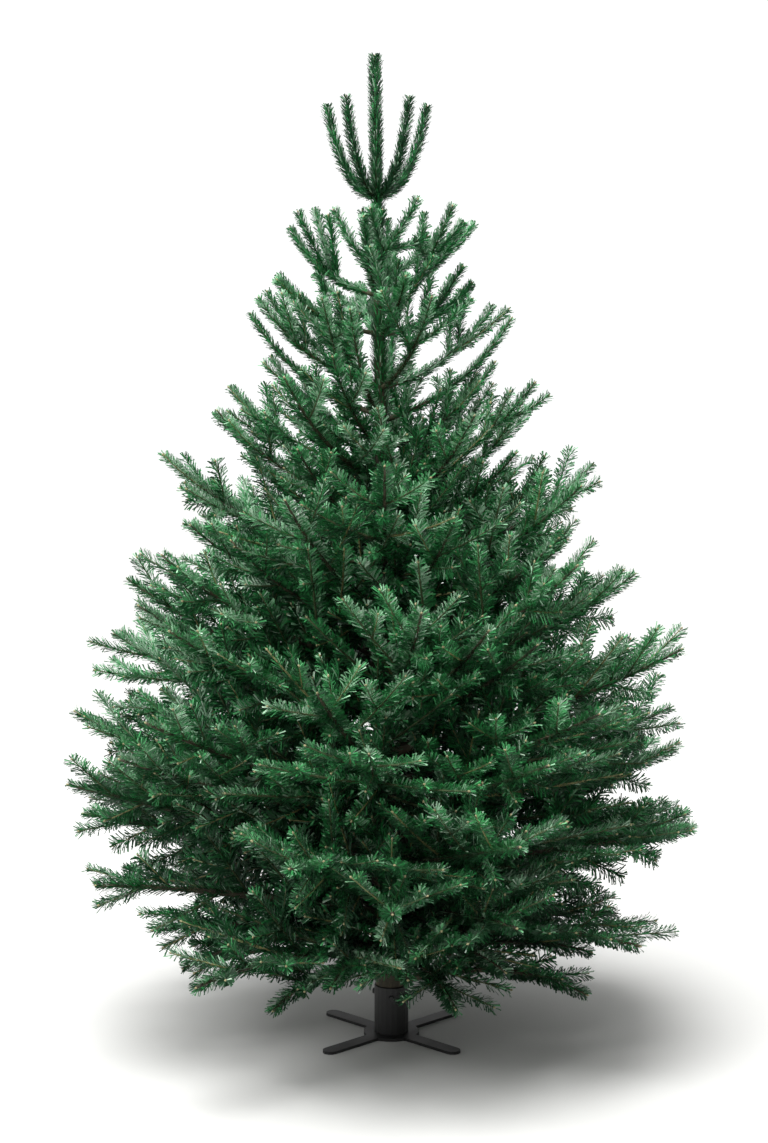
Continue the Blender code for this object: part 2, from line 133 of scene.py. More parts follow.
# Carried on from the rule: boughs between the main ones
# Sets of four: whorls below the main boughs, turn in quarters, more turn on odd whorls, share of their
# size, its gain towards the foot, and the first whorl, counted from 0, that has the set
BOUGH_SETS = (
    (0.3, 0.5, 0, 0.9, 0.1, 2),
    (0.62, 0.25, 0.5, 0.66, 0.36, 2),
    (0.45, 0.0, 0.6, 0.6, 0.48, 4),
    (0.15, 0.1, 0, 0.42, 0, 3),
    (0.45, 0.8, 0, 0.42, 0, 3),
    (0.8, 0.55, 0, 0.42, 0, 3),
    (0.66, 0.9, 0, 0.3, 0.04, 4),
)
# Four boughs that spread low, just under the second whorl: whorl, turn, size and climb
SPREADING = (1.42, 0.06, 0.98, 0.72)
# Rings of short boughs round the trunk's foot: whorl, size and turn
SKIRTS = ((7.3, 0.42, 0.0), (7.7, 0.5, 0.25), (7.9, 0.42, 0.0), (8.1, 0.7, 0.25), (8.3, 0.76, 0.0))
SKIRT_BOUGHS = 8
LOWEST_SHARE = 0.8
YOUNG_CLIMB = 0.9
# Boughs between these whorls stay unforked, so that the sky shows beside the trunk
UNFORKED = (2.1, 2.5)

# Carried on from the rule: twigs on boughs and twigs on twigs
LIMB_FORK_PITCH = 0.1
LIMB_FORK_WIDENING = 0.025
TWIG_FORK_PITCH = 0.085
FIRST_FORK = 0.26
FIRST_TWIG_FORK = 0.3
FREE_TIP = 0.12
FREE_TWIG_TIP = 0.105
FORK_ANGLE_SPREAD = 0.12
FORK_LENGTH_SPREAD = 0.16
# By the order of a stem, how much the tilt of its twigs varies
TILT_SPREAD = {1: SIDE_TILT_SPREAD, 2: math.radians(24)}
SHORTEST_TWIG = 0.055
LONG_TWIG = 0.16
# Lengths of the twigs that rise before a fork, as shares of the source's, and below 0 for those that hang
OUTER_RISER = 0.85
TWIG_RISER = 0.8
HANGER = -0.8
HANGERS_BETWEEN = (0.45, 0.95)
TURN_UP = 0.45
TURN_UP_FADE = 0.9
TURN_FORWARD = 0.12
# Low boughs have no finer twigs near the trunk, where no light reaches: up to this share of a bough,
# on boughs from this depth of the crown down
BARE_FORKS_WITHIN = 0.36
BARE_FORKS_FROM = 0.4
# By a twig's order, its radius at no length and the gain for each metre
TWIG_GIRTH = {2: (0.0016, 0.006), 3: (0.0015, 0.005)}

# What is drawn in so that every tip and its needles stay within the solids' box
TIP_ROOM = 0.014
FLOOR_ROOM = 0.12
NEEDLE_FLOOR = 0.02
TWIG_DRAW = 0.9
REACH_DRAW = 0.99

# Which stretches carry needles, and how thickly: shares of a full shoot's needles
BARE_FOOT = 0.005
BARE_FOOT_GAIN = 0.1
TWIG_CLAD = {2: (0.05, 0.98), 3: (0.04, 0.97)}
YOUNG_WHORLS = 2
YOUNG_BOUGH_DENSITY = 2.2
BOUGH_DENSITY = 1.6
LEADER_TIP = 1.992
LEADER_RADIUS = 0.0055
LEADER_STEM = 0.004
LEADER_DENSITY = 2.6
# The young top of the trunk: from one height to another, and how thickly
TRUNK_NEEDLES = ((1.5, TRUNK_TOP, 2.4), (1.28, 1.5, 2.6), (1.05, 1.28, 1.6))
# By whorl: how thickly twigs are clad, how long their needles are, and the share that stand all round
TWIG_DENSITY = ((0, 1, 2, 4), (1.7, 1.9, 1.5, 1.0))
NEEDLE_SHARE = ((0.5, 1, 3, 5), (1.0, 0.8, 0.82, 1.0))
ROUNDNESS = ((0, 1, 2, 3, 5), (1.0, 0.9, 0.7, 0.5, 0.35))
# The place along a bough whose thickness its needles stand off by
STEM_AT = 0.6


def vary(number, salt):
    """An even, repeatable spread of values from -1 to 1, in place of chance. Salts keep uses apart."""
    return 2 * ((number * GOLDEN + salt * PLASTIC) % 1) - 1


def stations(first, last, steps):
    """Evenly spaced places from first to last."""
    return [first + (last - first) * i / steps for i in range(steps + 1)]


def trunk_axis(height):
    """The middle of the trunk at a height. It leans a little, as the photo's does."""
    return Vector((LEAN * height / TREE_HEIGHT, 0, height))


def trunk_radius(height):
    """How thick the trunk is at a height."""
    return TRUNK_FOOT_RADIUS + (TRUNK_TOP_RADIUS - TRUNK_FOOT_RADIUS) * height / TOP_WHORL_HEIGHT


class Course:
    """The line of one bough, from the trunk's axis at 0 to the bough's tip at 1."""

    order = 1

    def __init__(self, whorl, number, size=1.0, climb=1.0):
        depth = whorl / (WHORLS - 1)
        salt = whorl + 1
        if whorl:
            turn = SECOND_AZIMUTH + WHORL_TURN * (whorl - 1) + math.tau * number / BOUGHS_IN_WHORL
            azimuth = turn + AZIMUTH_SPREAD * vary(number, salt)
        else:
            azimuth = FIRST_AZIMUTH + math.tau * number / BOUGHS_IN_TOP_WHORL
        height = TOP_WHORL_HEIGHT + (LOW_WHORL_HEIGHT - TOP_WHORL_HEIGHT) * depth
        rounding = REACH_ROUNDING * max(0, depth - REACH_ROUND_FROM) ** 2
        drooping = RISE_ROUNDING * max(0, depth - RISE_ROUND_FROM) ** 2
        share = size * (1 + REACH_SPREAD * vary(number, salt + 0.25) + REACH_BIAS * math.cos(azimuth))
        self.whorl = whorl
        self.number = number
        self.depth = depth
        self.start = trunk_axis(height + HEIGHT_SPREAD * vary(number, salt + 0.5) * depth)
        self.outward = Vector((math.cos(azimuth), math.sin(azimuth), 0))
        self.side = self.outward.cross(UP)
        self.reach = share * (TOP_REACH + REACH_GAIN * depth - rounding if whorl else FORK_REACH)
        self.rise = size * climb * (TOP_RISE + RISE_GAIN * depth - drooping if whorl else FORK_RISE)
        self.arch = LOW_ARCH * depth**6
        self.bend = LOW_BEND + (TOP_BEND - LOW_BEND) * (1 - depth) ** 2
        self.radius = size * (BOUGH_TOP_RADIUS + (BOUGH_LOW_RADIUS - BOUGH_TOP_RADIUS) * depth)
        self.length = math.hypot(self.reach, self.rise)
        self.uplift = UPLIFT * max(1 - UPLIFT_FADE * depth, 0)
        self.vigour = 1 + YOUNG_VIGOUR * max(1 - VIGOUR_FADE * depth, 0)

    def point(self, s):
        bulge = s * (1 - s)
        out = self.reach * (s + self.bend * bulge / 2)
        climb = self.rise * (s - self.bend * bulge) + self.arch * 4 * bulge
        return self.start + self.outward * out + UP * climb

    def heading(self, s):
        turn = 1 - 2 * s
        out = self.reach * (1 + self.bend * turn / 2)
        climb = self.rise * (1 - self.bend * turn) + self.arch * 4 * turn
        return (self.outward * out + UP * climb).normalized()

    def side_at(self, s):
        return self.side

    def limb_radius(self, s):
        return self.radius * (1 - (1 - BOUGH_TIP_SHARE) * s)

    def bark_radius(self, s):
        """The limb's radius, flared where it leaves the trunk and never too thin to see."""
        return max(self.limb_radius(s) * (1 + COLLAR * math.exp(-s * COLLAR_FADE)), THINNEST_LIMB)


class Twig:
    """A twig on a bough or on another twig: a line that starts off along a heading and curls as it goes."""

    uplift = 0
    vigour = 1

    def __init__(self, start, along, flat, length, curl, order, radius=0.0):
        self.start = start
        self.along = along.normalized()
        self.flat = flat.normalized()
        self.length = length
        self.curl = curl
        self.order = order
        self.radius = radius

    def point(self, s):
        return self.start + (self.along * s + self.curl * (s * s / 2)) * self.length

    def heading(self, s):
        return (self.along + self.curl * s).normalized()

    def side_at(self, s):
        return self.heading(s).cross(self.flat).normalized()


def upright(low, high, radius=0.0):
    """A stretch along the trunk's axis, between two heights."""
    return Twig(trunk_axis(low), trunk_axis(1), FRONT, high - low, Vector(), 1, radius)


def within_box(point, axes):
    """Whether a tip lies within the solids' box along these axes, with room for its needles."""
    low = CAD_LOW + Vector((TIP_ROOM, TIP_ROOM, FLOOR_ROOM))
    high = CAD_HIGH - Vector((TIP_ROOM, TIP_ROOM, 0))
    return all(low[i] < point[i] < high[i] for i in axes)


def kept_inside(twig):
    """Shortens a twig until it ends within the solids' box."""
    while twig.length > SHORTEST_TWIG and not within_box(twig.point(1), (0, 1, 2)):
        twig.length *= TWIG_DRAW
    return twig


def drawn_in(course):
    """Shortens a bough's reach until its tip lies within the solids' box."""
    while not within_box(course.point(1), (0, 1)):
        course.reach *= REACH_DRAW
    return course


def fork_off(parent, s, fork, salt, curl_up, risers):
    """The source's fork: a left and a right twig, and shorter ones that rise or hang before them."""
    heading = parent.heading(s)
    side = parent.side_at(s)
    normal = side.cross(heading)
    angle = FORK_ANGLE_INNER + (FORK_ANGLE_OUTER - FORK_ANGLE_INNER) * s
    length = parent.length * SIDE_SHARE * parent.vigour * (SIDE_LENGTH_FROM - s) ** SIDE_LENGTH_POWER
    uplift = UP * parent.uplift
    curl = heading * TURN_FORWARD + UP * curl_up
    made = []
    for hand in (1, -1):
        tilt = SIDE_TILT + TILT_SPREAD[parent.order] * vary(hand, salt)
        outward = side * hand * math.cos(tilt) + normal * math.sin(tilt)
        turned = angle * (1 + FORK_ANGLE_SPREAD * vary(hand, salt + 0.7))
        direction = heading * math.cos(turned) + outward * math.sin(turned) + uplift
        flat = normal - side * hand * math.tan(tilt)
        grown = length * (1 + FORK_LENGTH_SPREAD * vary(hand + 2, salt + 0.4))
        start = parent.point(max(s - hand * FORK_STAGGER / 2, 0))
        made.append(kept_inside(Twig(start, direction, flat, grown, curl, parent.order + 1)))
    for lift in risers:
        lean = TOP_SPRAY_LEAN * vary(fork, salt + 0.3 + lift)
        raised = normal * lift * math.sin(TOP_SPRAY_ANGLE)
        direction = heading * math.cos(TOP_SPRAY_ANGLE) + raised + side * lean + uplift
        grown = length * TOP_SPRAY_SHARE * abs(lift)
        start = parent.point(max(s - 2 * FORK_STAGGER, 0))
        made.append(kept_inside(Twig(start, direction, side, grown, curl, parent.order + 1)))
    return made


def forks_along(length, pitch, first, free):
    """Where a stem forks: from its first fork at an even pitch, with its newest growth left unforked."""
    last = 1 - free / length
    steps = int(length * (last - first) / pitch)
    if last < first:
        return []
    return stations(first, last, steps) if steps else [last]


def all_courses():
    """The main boughs of the source, those between them in each whorl, and those between whorls."""
    made = []
    for whorl in range(WHORLS):
        depth = whorl / (WHORLS - 1)
        numbers = range(BOUGHS_IN_WHORL if whorl else BOUGHS_IN_TOP_WHORL)
        made += [Course(whorl, number) for number in numbers]
        if whorl == 1:
            below, turned, size, climb = SPREADING
            made += [Course(below, number + turned, size, climb) for number in numbers]
        if whorl == WHORLS - 1:
            made += [Course(whorl, number + 0.5, LOWEST_SHARE) for number in numbers]
            continue
        steep = 1 + YOUNG_CLIMB * max(1 - VIGOUR_FADE * depth, 0)
        for number in numbers:
            for below, turned, odd, share, gain, first in BOUGH_SETS:
                if whorl >= first:
                    place = number + turned + odd * (whorl % 2)
                    made.append(Course(whorl + below, place, share + gain * depth, steep))
    for whorl, size, turned in SKIRTS:
        for number in range(SKIRT_BOUGHS):
            made.append(Course(whorl, number * BOUGHS_IN_WHORL / SKIRT_BOUGHS + turned, size))
    return [drawn_in(course) for course in made]


# One stretch of stem that carries needles, from first to last along its line
Clothed = namedtuple("Clothed", "line first last per_metre tint stem whorl number tip", defaults=(0, 0, True))


class Crown:
    """Every bough, every twig, and every stretch of them that carries needles."""

    def __init__(self, shape):
        self.full = shape.needles_per_cm * 100
        self.twigs = []
        self.clothed = []
        for index, course in enumerate(all_courses()):
            self.grow_bough(index, course)
        self.grow_leader()

    def grow_bough(self, index, course):
        """Clothes a bough, and forks twigs off it."""
        whorl, number, depth = course.whorl, course.number, course.depth
        bare = (BARE_FOOT + BARE_FOOT_GAIN * depth) / course.length
        density = self.full * (YOUNG_BOUGH_DENSITY if whorl < YOUNG_WHORLS else BOUGH_DENSITY)
        stem = course.limb_radius(STEM_AT)
        self.clothed.append(Clothed(course, bare, 1.0, density, index, stem, whorl, number))
        if whorl < 1 or UNFORKED[0] < whorl < UNFORKED[1]:
            return
        curl_up = TURN_UP * (1 - TURN_UP_FADE * depth)
        pitch = LIMB_FORK_PITCH + LIMB_FORK_WIDENING * depth
        for fork, s in enumerate(forks_along(course.length, pitch, FIRST_FORK, FREE_TIP)):
            salt = whorl + 20 * fork + number
            risers = [1.0 if s < TOP_SPRAY_END else OUTER_RISER]
            if HANGERS_BETWEEN[0] < depth < HANGERS_BETWEEN[1]:
                risers.append(HANGER)
            for hand, second in enumerate(fork_off(course, s, fork, salt, curl_up, risers)):
                tint = index * 31 + fork * 7 + hand
                self.clothe_twig(course, second, tint)
                if s < BARE_FORKS_WITHIN and depth > BARE_FORKS_FROM:
                    continue
                nodes = forks_along(second.length, TWIG_FORK_PITCH, FIRST_TWIG_FORK, FREE_TWIG_TIP)
                for node, t in enumerate(nodes):
                    own = salt + node * 5.3 + hand
                    lift = [TWIG_RISER * (-1) ** node] if second.length > LONG_TWIG else []
                    for third in fork_off(second, t, node, own, curl_up, lift):
                        if third.length >= SHORTEST_TWIG:
                            self.clothe_twig(course, third, tint + node)

    def clothe_twig(self, course, twig, tint):
        """Gives a bough's twig its radius and its needles."""
        thinnest, gain = TWIG_GIRTH[twig.order]
        twig.radius = thinnest + gain * twig.length
        density = self.full * float(np.interp(course.whorl, *TWIG_DENSITY))
        clad = (*TWIG_CLAD[twig.order], density, tint, twig.radius, course.whorl, course.number)
        self.twigs.append(twig)
        self.clothed.append(Clothed(twig, *clad))

    def grow_leader(self):
        """The leading shoot, and the needles on the young top of the trunk."""
        leader = upright(TRUNK_TOP, LEADER_TIP, LEADER_RADIUS)
        self.twigs.append(leader)
        self.clothed.append(Clothed(leader, 0.0, 1.0, self.full * LEADER_DENSITY, 3, LEADER_STEM))
        for low, high, thick in TRUNK_NEEDLES:
            part = Clothed(upright(low, high), 0.0, 1.0, self.full * thick, 5, trunk_radius(high), tip=False)
            self.clothed.append(part)


def linear(colour):
    """An sRGB hex colour as the linear red, green, blue and alpha that a socket takes."""
    parts = [int(colour[i : i + 2], 16) / 255 for i in (1, 3, 5)]
    return (*[c / 12.92 if c <= 0.04045 else ((c + 0.055) / 1.055) ** 2.4 for c in parts], 1.0)


def add_node(tree, kind, settings=None, inputs=None, links=None):
    """Adds a node with its settings, the values of its inputs, and links into them."""
    made = tree.nodes.new(kind)
    for name, value in (settings or {}).items():
        setattr(made, name, value)
    for name, value in (inputs or {}).items():
        made.inputs[name].default_value = value
    for name, socket in (links or {}).items():
        tree.links.new(socket, made.inputs[name])
    return made


def new_material(name, inputs):
    """A material whose shader has these values on its own sockets."""
    material = bpy.data.materials.new(name)
    material.use_nodes = True
    tree = material.node_tree
    tree.nodes.clear()
    shader = add_node(tree, "ShaderNodeBsdfPrincipled", inputs=inputs)
    add_node(tree, "ShaderNodeOutputMaterial", links={"Surface": shader.outputs[0]})
    return material, tree, shader


def noise_of(tree, place, size, **more):
    """Noise whose patches have a real size in metres."""
    inputs = {"Scale": 1 / size, **more}
    return add_node(tree, "ShaderNodeTexNoise", inputs=inputs, links={"Vector": place}).outputs["Fac"]


def between(tree, amount, stops, colours):
    """A colour between two, by where an amount lies between two stops."""
    ramp = add_node(tree, "ShaderNodeValToRGB", links={"Fac": amount})
    for element, stop, colour in zip(ramp.color_ramp.elements, stops, colours):
        element.position = stop
        element.color = colour
    return ramp.outputs["Color"]


def map_range(tree, value, clamp=True, **ends):
    """A value moved onto another range, and held within it if clamped."""
    inputs = {name.replace("_", " "): end for name, end in ends.items()}
    return add_node(tree, "ShaderNodeMapRange", {"clamp": clamp}, inputs, {"Value": value}).outputs["Result"]


def new_object(name, mesh, materials):
    """An object at the origin that shows a mesh in these materials."""
    made = bpy.data.objects.new(name, mesh)
    bpy.context.scene.collection.objects.link(made)
    for material in materials:
        mesh.materials.append(material)
    return made


def finished_mesh(name, bm):
    """Turns a bmesh into a mesh."""
    mesh = bpy.data.meshes.new(name)
    bm.to_mesh(mesh)
    bm.free()
    return mesh


def mesh_from_arrays(name, places, triangles, slots):
    """One joined mesh of many small shapes: vertex places, triangles and each triangle's material slot."""
    mesh = bpy.data.meshes.new(name)
    mesh.vertices.add(len(places))
    mesh.vertices.foreach_set("co", np.ascontiguousarray(places, np.float32).ravel())
    mesh.loops.add(len(triangles) * 3)
    mesh.loops.foreach_set("vertex_index", np.ascontiguousarray(triangles, np.int32).ravel())
    mesh.polygons.add(len(triangles))
    mesh.polygons.foreach_set("loop_start", np.arange(0, len(triangles) * 3, 3, dtype=np.int32))
    mesh.polygons.foreach_set("material_index", np.ascontiguousarray(slots, np.int32))
    mesh.update(calc_edges=True)
    return mesh


def repeated(faces, shapes):
    """Many equal shapes, given by their corners and the faces of one: all vertex places and triangles."""
    count, corners, _ = shapes.shape
    triangles = np.arange(count)[:, None, None] * corners + faces[None]
    return shapes.reshape(-1, 3), triangles.reshape(-1, 3)


def unit(vectors):
    return vectors / np.maximum(np.linalg.norm(vectors, axis=-1, keepdims=True), 1e-9)


def fade(values, start, depth):
    """0 at start and 1 a depth further on, which is downward where the depth is negative."""
    return np.clip((values - start) / depth, 0, 1)


# Needles: their places on the stems

STEM_SAMPLES = 9
FEWEST_NEEDLES = 3
# Each needle stands somewhere in this part of its own share of the stem
SHARE_PART = (0.1, 0.9)
BUNCH_PITCH = 0.0085
FOOT_BUNCHING = 0.2
TIP_BUNCHING = 0.8
# Shares of the crown's radius and of a full shoot's needles. Above YOUNG_FROM the crown is clad up to
# the trunk, and below it the shaded stems keep a few more needles.
BARE_WITHIN = 0.15
FULL_BEYOND = 0.68
INNER_DENSITY = 0.32
YOUNG_FROM = 0.9
YOUNG_DEPTH = 0.5
YOUNG_REACH = 0.5
LOW_DEPTH = 0.3
LOW_GAIN = 0.3
NARROWEST_CROWN = 0.01

# Columns of values for all needles: whose each is, its rank and place along the stem, the stem's frame
# there, how well lit it is, its bunch, and how far its tip is drawn along the stem towards the bunch
Feet = namedtuple("Feet", "owner rank along place head flat lasting bunch drawn")


def dealt(clothed, owner, field):
    """A value of each stretch, dealt out to its needles."""
    return np.array([getattr(stretch, field) for stretch in clothed])[owner]


def crown_radius(heights):
    """How far the crown reaches out at each height, from the tips of the source's boughs."""
    tips = sorted(
        (tip.z, math.hypot(tip.x, tip.y)) for tip in (Course(whorl, 0).point(1) for whorl in range(WHORLS))
    )
    return np.interp(heights, [z for z, _ in tips], [reach for _, reach in tips])


def frames_along(stretch):
    """The stem's middle, heading and upper side at even steps along a stretch."""
    line = stretch.line
    steps = stretch.first + (stretch.last - stretch.first) * np.linspace(0, 1, STEM_SAMPLES)
    return [(line.point(s), line.heading(s), line.side_at(s).cross(line.heading(s))) for s in steps]


def needle_feet(clothed, rng):
    """Where every needle stands."""
    frames = np.array([frames_along(stretch) for stretch in clothed])
    lengths = np.array([part.line.length * (part.last - part.first) for part in clothed])
    counts = (lengths * np.array([stretch.per_metre for stretch in clothed])).astype(int)
    counts = np.maximum(counts, FEWEST_NEEDLES)
    owner = np.repeat(np.arange(len(clothed)), counts)
    rank = np.arange(len(owner)) - (np.cumsum(counts) - counts)[owner]
    along = (rank + rng.uniform(*SHARE_PART, len(owner))) / counts[owner]
    # Needles stand evenly on the stem and their tips draw together in bunches, with gaps between them.
    bunches = np.maximum(np.round(lengths / BUNCH_PITCH), 1)[owner]
    inward = (np.floor(along * bunches) + 0.5) / bunches - along
    along = along + FOOT_BUNCHING * inward
    drawn = (TIP_BUNCHING - FOOT_BUNCHING) * inward * lengths[owner]
    bunch = np.floor(along * bunches).astype(int)
    cell = np.minimum((along * (STEM_SAMPLES - 1)).astype(int), STEM_SAMPLES - 2)
    part = (along * (STEM_SAMPLES - 1) - cell)[:, None, None]
    place, head, flat = np.moveaxis(frames[owner, cell] * (1 - part) + frames[owner, cell + 1] * part, 1, 0)
    # Old needles drop in the shade near the trunk, so the inner stems are thinly clad.
    height = place[:, 2]
    from_axis = np.hypot(place[:, 0] - LEAN * height / TREE_HEIGHT, place[:, 1])
    outer = from_axis / np.maximum(crown_radius(height), NARROWEST_CROWN)
    bare = BARE_WITHIN - YOUNG_REACH * fade(height, YOUNG_FROM, YOUNG_DEPTH)
    least = INNER_DENSITY * (1 + np.clip((YOUNG_FROM - height) / LOW_DEPTH, 0, LOW_GAIN))
    lasting = np.clip((outer - bare) / (FULL_BEYOND - BARE_WITHIN), least, 1)
    young = dealt(clothed, owner, "whorl") < 1
    kept = (rng.random(len(owner)) < lasting) | young
    lit = np.where(young, 1, lasting)
    feet = Feet(owner, rank, along, place, unit(head), unit(flat), lit, bunch, drawn)
    return Feet(*[column[kept] for column in feet])


# Needles: their outlines

# Rows of needles on a shoot: degrees round from straight up, degrees off the heading, size, and tone: painted
# light, lighter on rows that face up and darker on rows that face down
NEEDLE_ROWS = np.array(
    [
        (96, 62, 1.0, -1.2),
        (50, 52, 0.84, 1.0),
        (80, 60, 1.0, 0.5),
        (22, 44, 0.68, 1.3),
        (122, 54, 0.85, -1.6),
        (90, 62, 1.0, -0.5),
        (36, 48, 0.74, 1.2),
        (68, 58, 0.95, 0.9),
        (150, 46, 0.72, -1.8),
        (8, 38, 0.62, 1.0),
        (106, 60, 0.95, -1.4),
    ]
)
TURN_SPREAD = 5
LEAN_SPREAD = 4
SIZES = (0.86, 1.08)
# Needles that stand all round a shoot: degrees off its heading and their spread, and sizes
RING_LEAN = (38, 6)
RING_TURN_SPREAD = 0.2
RING_SIZES = (0.8, 1.0)
# Painted light on needles that stand all round a shoot: lighter where they face up, darker where they face
# down
RING_PAINTED_LIGHT = 0.9
WIDTHS = (0.85, 1.1)
# Needles are shorter where a year's growth starts, and close round the bud where it ends
YEAR_START = 0.1
START_SIZE = 0.7
YEAR_END = 0.86
END_SHORTENING = 0.42
RING_END_LEAN = 0.3
ROW_END_LEAN = -0.15
# In the shade the few needles that last are broader and longer
INNER_BREADTH = 1.5
INNER_LENGTH = 0.2
STEM_SINK = 0.8
ROW_TWIST = 0.25
ARCH = 0.05
FOOT_TWIST = math.radians(35)
FOOT_WIDTH = 0.5
TIP_WIDTH = 0.9
TIP_SLANT = 0.35
NEEDLE_FACES = np.array([(0, 1, 2), (0, 2, 3)])


def needle_outlines(clothed, feet, shape, rng):
    """Every needle as the ends of its foot and of its tip, the side it is on, and its painted light: a
    lighter tone where it faces up, a darker one where it faces down.
    """
    owner, rank, along, place, head, flat, lasting, _, drawn = feet
    count = len(owner)
    side = np.cross(head, flat)
    whorl = dealt(clothed, owner, "whorl")
    ring = rng.random(count) < np.interp(whorl, *ROUNDNESS)
    row = NEEDLE_ROWS[rank % len(NEEDLE_ROWS)]
    hand = np.where(((rank // len(NEEDLE_ROWS)) + rank) % 2 == 0, 1.0, -1.0)
    turn = np.radians(row[:, 0] + rng.normal(0, TURN_SPREAD, count)) * hand
    lean = np.radians(row[:, 1] + rng.normal(0, LEAN_SPREAD, count))
    size = row[:, 2] * rng.uniform(*SIZES, count)
    turn = np.where(ring, rank * math.tau * GOLDEN + rng.normal(0, RING_TURN_SPREAD, count), turn)
    lean = np.where(ring, np.radians(rng.normal(*RING_LEAN, count)), lean)
    size = np.where(ring, rng.uniform(*RING_SIZES, count), size) * np.interp(whorl, *NEEDLE_SHARE)
    ending = np.clip((along - YEAR_END) / (1 - YEAR_END), 0, 1) ** 2
    starting = START_SIZE + (1 - START_SIZE) * fade(along, 0, YEAR_START)
    size = size * starting * (1 - END_SHORTENING * ending)
    lean = lean * (1 + np.where(ring, RING_END_LEAN, ROW_END_LEAN) * ending)
    out = flat * np.cos(turn)[:, None] + side * np.sin(turn)[:, None]
    direction = unit(head * np.cos(lean)[:, None] + out * np.sin(lean)[:, None])
    inward = head * np.sin(lean)[:, None] - out * np.cos(lean)[:, None]
    upper = np.where(ring[:, None], inward, flat + ROW_TWIST * out)
    upper = unit(upper - (upper * direction).sum(1)[:, None] * direction)
    across = np.cross(direction, upper)
    shaded = (1 - lasting)[:, None]
    long = (shape.needle_length * size)[:, None] * (1 + INNER_LENGTH * shaded)
    wide = shape.needle_width * rng.uniform(*WIDTHS, count)[:, None] * (1 + INNER_BREADTH * shaded)
    foot = place + out * (STEM_SINK * dealt(clothed, owner, "stem"))[:, None]
    tip = foot + direction * long + upper * long * ARCH + head * drawn[:, None]
    turned = across * math.cos(FOOT_TWIST) + upper * math.sin(FOOT_TWIST)
    half_foot = turned * wide * FOOT_WIDTH / 2
    half_tip = across * wide * TIP_WIDTH / 2
    slant = direction * wide * TIP_SLANT
    points = np.stack([foot + half_foot, tip + half_tip, tip - half_tip - slant, foot - half_foot], 1)
    # Painted light: a needle's tone follows how it faces, lighter upward and darker downward.
    return points, hand, np.where(ring, RING_PAINTED_LIGHT * np.cos(turn), row[:, 3])


# Needles: their tones, counted up from the deepest of NEEDLE_TOPS

NEEDLE_TOPS = ("deepest", "dark", "green", "fresh", "light", "lightest")
NEEDLE_UNDERS = ("dull", "pale", "chalky")
TONE_MIDDLE = 2.6
SPRAY_TONES = 0.8
YOUNG_TONE = -1.9
TIP_TONE = 0.4
TIP_TONE_FROM = 0.8
# Painted shade: needles deep in the crown, near the trunk, get a darker tone.
SHADE_TONE = -1.2
# Painted shade: needles low on the tree get a darker tone, the more the lower.
LOW_PAINTED_SHADE = -2.1
LOW_PAINTED_SHADE_SPAN = (0.85, -0.6)
NEEDLE_TONES = 0.4
# Shifts of tone that bunches and rows draw by their keys, and the primes that keep those keys apart
STEM_KEY = 7919
BUNCH_KEY = 131
SIDE_KEY = 17
FIRST_ROW_KEY = 37
ROW_KEY = 5
BUNCH_TONES = np.random.default_rng(SEED + 2).normal(0, 0.95, 4093)
# The share of sprays that show chalky under faces: more that turn them outward, and fewer low down
PALE_SPRAYS = 0.2
PALE_SHOWN = 0.5
PALE_SPAN = (1.1, -0.9)
PALE_FADE = 0.85
# The share of chalky needles: in such a spray's rows, with more on rows that face up as a painted highlight,
# on a young shoot, and in other sprays
PALE_ROW = 0.35
PALE_ROW_GAIN = 0.3
PALE_YOUNG = 0.14
PALE_OTHER = 0.12
PALENESS = (0.9, 0.7)


def needle_slots(clothed, feet, hand, painted_row_light, rng):
    """The material slot of every needle: its tone on top, with painted light and shade in it, or how chalky
    its under face is.
    """
    owner, rank, along, place, _, flat, lasting, bunch, _ = feet
    count = len(owner)
    young = dealt(clothed, owner, "whorl") < 1
    tints = [stretch.tint for stretch in clothed]
    # A rising spray turns its chalky under face to anyone beside the tree.
    radial = unit(place * np.array([1.0, 1.0, 0.0]))
    shown = np.clip(-(flat * radial).sum(1), 0, 1)
    low_down = fade(place[:, 2], *PALE_SPAN)
    odds = np.where(young, 0.0, (PALE_SPRAYS + PALE_SHOWN * shown) * (1 - PALE_FADE * low_down))
    pale_spray = np.array([(vary(tint, 0.31) + 1) / 2 for tint in tints])[owner] < odds
    # Painted highlight: rows that face up get more chalky, pale needles.
    upper_row = np.clip(PALE_ROW + PALE_ROW_GAIN * painted_row_light, 0, 1)
    pale = np.where(pale_spray, upper_row, np.where(young, PALE_YOUNG, PALE_OTHER * upper_row))
    chalky = rng.random(count) < pale
    tone = np.array([TONE_MIDDLE + SPRAY_TONES * vary(tint, 0.77) for tint in tints])[owner]
    # Painted light: rows that face up are lighter and rows that face down darker.
    tone = np.where(young, tone + YOUNG_TONE, tone) + painted_row_light + TIP_TONE * (along > TIP_TONE_FROM)
    # Painted shade: darker deep in the crown near the trunk, and darker low on the tree.
    tone = tone + SHADE_TONE * (1 - lasting) + LOW_PAINTED_SHADE * fade(place[:, 2], *LOW_PAINTED_SHADE_SPAN)
    # Each bunch has a tone of its own, and so has each row in it.
    bunch_key = owner * STEM_KEY + bunch * BUNCH_KEY + (hand > 0) * SIDE_KEY
    row_key = bunch_key + FIRST_ROW_KEY + rank % len(NEEDLE_ROWS) * ROW_KEY
    for key in (bunch_key, row_key):
        tone = tone + BUNCH_TONES[key % len(BUNCH_TONES)]
    tone = tone + rng.normal(0, NEEDLE_TONES, count)
    top = np.clip(np.round(tone), 0, len(NEEDLE_TOPS) - 1).astype(int)
    under = np.clip(np.round(rng.normal(*PALENESS, count)), 0, len(NEEDLE_UNDERS) - 1).astype(int)
    return np.where(chalky, len(NEEDLE_TOPS) + under, top)


def number_property(name, description, default, unit="NONE", **more):
    return bpy.props.FloatProperty(name=name, description=description, default=default, unit=unit, **more)


def length_property(name, description, default):
    return number_property(name, description, default, "LENGTH", precision=4)


